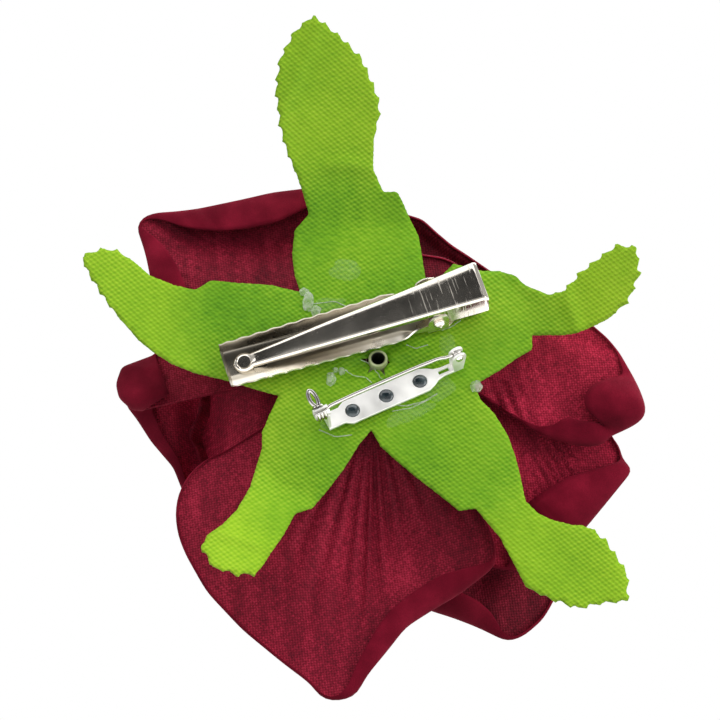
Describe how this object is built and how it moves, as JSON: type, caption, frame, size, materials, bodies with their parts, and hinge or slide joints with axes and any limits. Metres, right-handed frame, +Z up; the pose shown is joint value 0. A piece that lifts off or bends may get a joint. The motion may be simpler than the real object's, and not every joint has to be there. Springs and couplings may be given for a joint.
{
  "type": "flower hair clip",
  "caption": "Fabric rose with a leafy calyx, a sprung alligator clip and a bar pin with a rotary catch on its back, for hair or lapel.",
  "frame": {"origin": "middle of the alligator clip's bite, on the jaw's gripping face", "axes": "+Y along the flower's axis towards its face, so -Y is the back with the clip; +Z up towards the long upper sepal; +X to the right when seen from the back"},
  "size_m": [0.1213, 0.0656, 0.1461],
  "materials": {
    "petal_fabric": "velvet",
    "calyx_fabric": "woven",
    "stem_plastic": "satin",
    "hot_glue": "glossy",
    "foam": "matte",
    "nickel_steel": "polished",
    "bright_steel": "polished",
    "spring_wire": "satin"
  },
  "bodies": {
    "flower": {"outer_petal_1": "petal_fabric", "outer_petal_2": "petal_fabric", "outer_petal_3": "petal_fabric", "outer_petal_4": "petal_fabric", "outer_petal_5": "petal_fabric", "outer_petal_6": "petal_fabric", "outer_petal_7": "petal_fabric", "outer_petal_8": "petal_fabric", "outer_petal_9": "petal_fabric", "middle_petal_1": "petal_fabric", "middle_petal_2": "petal_fabric", "middle_petal_3": "petal_fabric", "middle_petal_4": "petal_fabric", "middle_petal_5": "petal_fabric", "inner_petal_1": "petal_fabric", "inner_petal_2": "petal_fabric", "inner_petal_3": "petal_fabric", "inner_petal_4": "petal_fabric", "inner_petal_5": "petal_fabric", "bud_petal_1": "petal_fabric", "bud_petal_2": "petal_fabric", "bud_petal_3": "petal_fabric", "bud_core": "foam", "calyx": "calyx_fabric", "stem_tube": "stem_plastic", "clip_glue": "hot_glue", "pin_glue": "hot_glue", "clip_jaw": "nickel_steel", "clip_pivot_pin": "nickel_steel", "clip_spring": "spring_wire", "pin_bar": "bright_steel", "pin_hinge_rivet": "bright_steel"},
    "clip_lever": {"clip_lever": "nickel_steel", "clip_spring_leg": "spring_wire"},
    "pin_arm": {"pin_wire": "bright_steel"},
    "catch": {"pin_catch_sleeve": "bright_steel"}
  },
  "joints": [
    {"name": "clip_squeeze", "type": "hinge", "parent": "flower", "child": "clip_lever", "pos_m": [0.02659, -0.0036, 0.00813], "axis": [-0.2924, 0, 0.9563], "range_deg": [0, 24], "stiffness_Nm_per_rad": 0.05, "springref_deg": -20.05},
    {"name": "pin_swing", "type": "hinge", "parent": "flower", "child": "pin_arm", "pos_m": [0.03153, -0.0048, -0.00447], "axis": [-0.4384, 0, 0.8988], "range_deg": [0, 100]},
    {"name": "catch_turn", "type": "hinge", "parent": "flower", "child": "catch", "pos_m": [0.00295, -0.0056, -0.01841], "axis": [0.8988, 0, 0.4384], "range_deg": [0, 100]}
  ]
}
